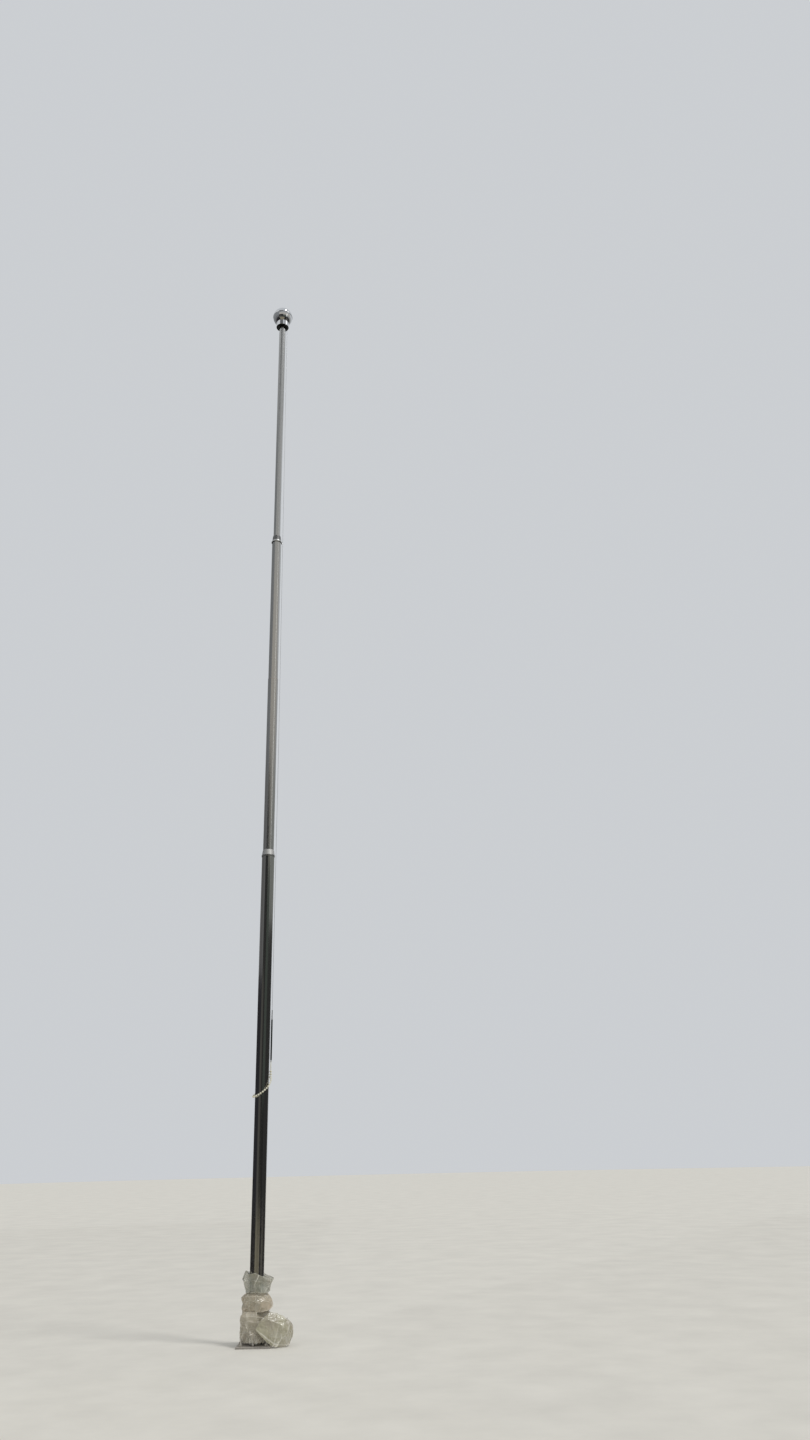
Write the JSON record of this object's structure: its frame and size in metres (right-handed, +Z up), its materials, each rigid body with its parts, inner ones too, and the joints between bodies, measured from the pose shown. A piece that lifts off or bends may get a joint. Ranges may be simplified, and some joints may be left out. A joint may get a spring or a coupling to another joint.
{
  "type": "stepped flagpole",
  "caption": "Stepped stainless steel flagpole on a gusseted base plate, with a revolving ball truck, a hoisted halyard weight with a bead ring, and film left round its foot.",
  "frame": {"origin": "centre of the base plate's underside", "axes": "+Z up the mast; -Y is the front, where the pole is seen from; +X to the right"},
  "size_m": [0.512, 0.32, 12.05],
  "materials": {
    "satin_steel": "drawn satin, slightly streaked",
    "joint_steel": "turned and polished",
    "plate_steel": "mill finish, dusty",
    "mirror_steel": "mirror polished",
    "wire_rope": "twisted strands",
    "dark_plastic": "dull sleeve",
    "white_plastic": "moulded, slightly yellowed",
    "clear_film": "crumpled clear wrapping film, dusty"
  },
  "bodies": {
    "mast": {"base_plate": "plate_steel", "gusset_front": "plate_steel", "gusset_back": "plate_steel", "gusset_left": "plate_steel", "gusset_right": "plate_steel", "lower_tube": "satin_steel", "lower_joint_rim": "joint_steel", "lower_joint_band": "joint_steel", "mid_tube": "satin_steel", "mid_weld": "satin_steel", "upper_tube": "satin_steel", "upper_joint_rim": "joint_steel", "upper_joint_collar": "joint_steel", "top_tube": "satin_steel", "top_spindle": "satin_steel", "film_cuff": "clear_film", "film_roll": "clear_film", "film_skirt": "clear_film", "film_bundle": "clear_film"},
    "truck": {"truck_housing": "mirror_steel", "truck_underplate": "mirror_steel", "rope_bush": "dark_plastic", "ball_lower_half": "mirror_steel", "ball_upper_half": "mirror_steel", "ball_seam_band": "mirror_steel", "halyard": "wire_rope"},
    "hoist": {"rope_ferrule": "joint_steel", "snap_hook": "joint_steel", "counterweight": "dark_plastic", "weight_eye_upper": "joint_steel", "weight_eye_lower": "joint_steel", "bead_ring": "white_plastic"}
  },
  "joints": [
    {"name": "truck_spin", "type": "hinge", "parent": "mast", "child": "truck", "pos_m": [0, 0, 11.757], "axis": [0, 0, 1], "continuous": true},
    {"name": "halyard_hoist", "type": "slide", "parent": "truck", "child": "hoist", "axis": [0, 0, 1], "range_m": [0, 8.736], "deforming": ["halyard"]}
  ]
}
